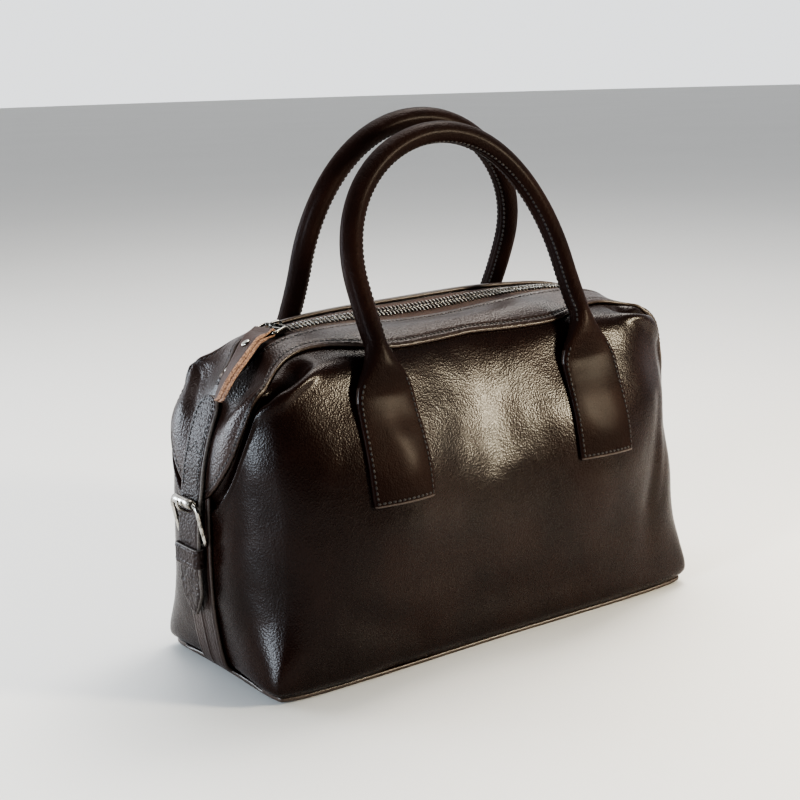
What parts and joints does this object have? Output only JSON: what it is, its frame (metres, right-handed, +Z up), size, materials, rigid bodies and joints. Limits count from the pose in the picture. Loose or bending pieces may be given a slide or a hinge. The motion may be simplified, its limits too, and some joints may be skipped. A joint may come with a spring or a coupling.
{
  "type": "leather handbag",
  "caption": "Soft boxy zip-top leather handbag with rolled arched handles, a draped zip yoke, and a buckled strap down each end.",
  "frame": {"origin": "middle of the base, on the surface that the bag stands on", "axes": "+Z up, +X along the zip away from its slider, -Y the front face"},
  "size_m": [0.3384, 0.1362, 0.2949],
  "materials": {
    "body_leather": "very dark brown pebbled leather, semi-gloss",
    "trim_leather": "very dark brown pebbled leather with painted edges",
    "strap_leather": "dark brown coarse-grained leather, semi-gloss",
    "pull_leather": "dark brown leather with raw tan edges",
    "zip_tape": "rust-brown woven zip tape",
    "metal": "aged nickel plate"
  },
  "bodies": {
    "bag": {"front_panel": "body_leather", "back_panel": "body_leather", "base_panel": "body_leather", "zip_yoke": "trim_leather", "handle_front": "trim_leather", "handle_back": "trim_leather", "end_strip_left": "trim_leather", "end_strip_right": "trim_leather", "buckle_strap_left": "strap_leather", "buckle_strap_right": "strap_leather", "strap_keeper_left": "strap_leather", "strap_keeper_right": "strap_leather", "buckle_frame_left": "metal", "buckle_frame_right": "metal", "buckle_roller_left": "metal", "buckle_roller_right": "metal", "buckle_prong_left": "metal", "buckle_prong_right": "metal", "zip_tape": "zip_tape", "zip_teeth": "metal", "zip_stop_left": "metal", "zip_stop_right": "metal", "zip_slider": "metal"},
    "zip_pull": {"pull_link": "metal", "pull_tab": "pull_leather", "pull_rivet": "metal"}
  },
  "joints": [
    {"name": "zip_pull", "type": "hinge", "parent": "bag", "child": "zip_pull", "pos_m": [-0.10388, -0.0003, 0.18618], "axis": [-0.2647, 0.9643, 0.0114], "range_deg": [0, 180]}
  ]
}
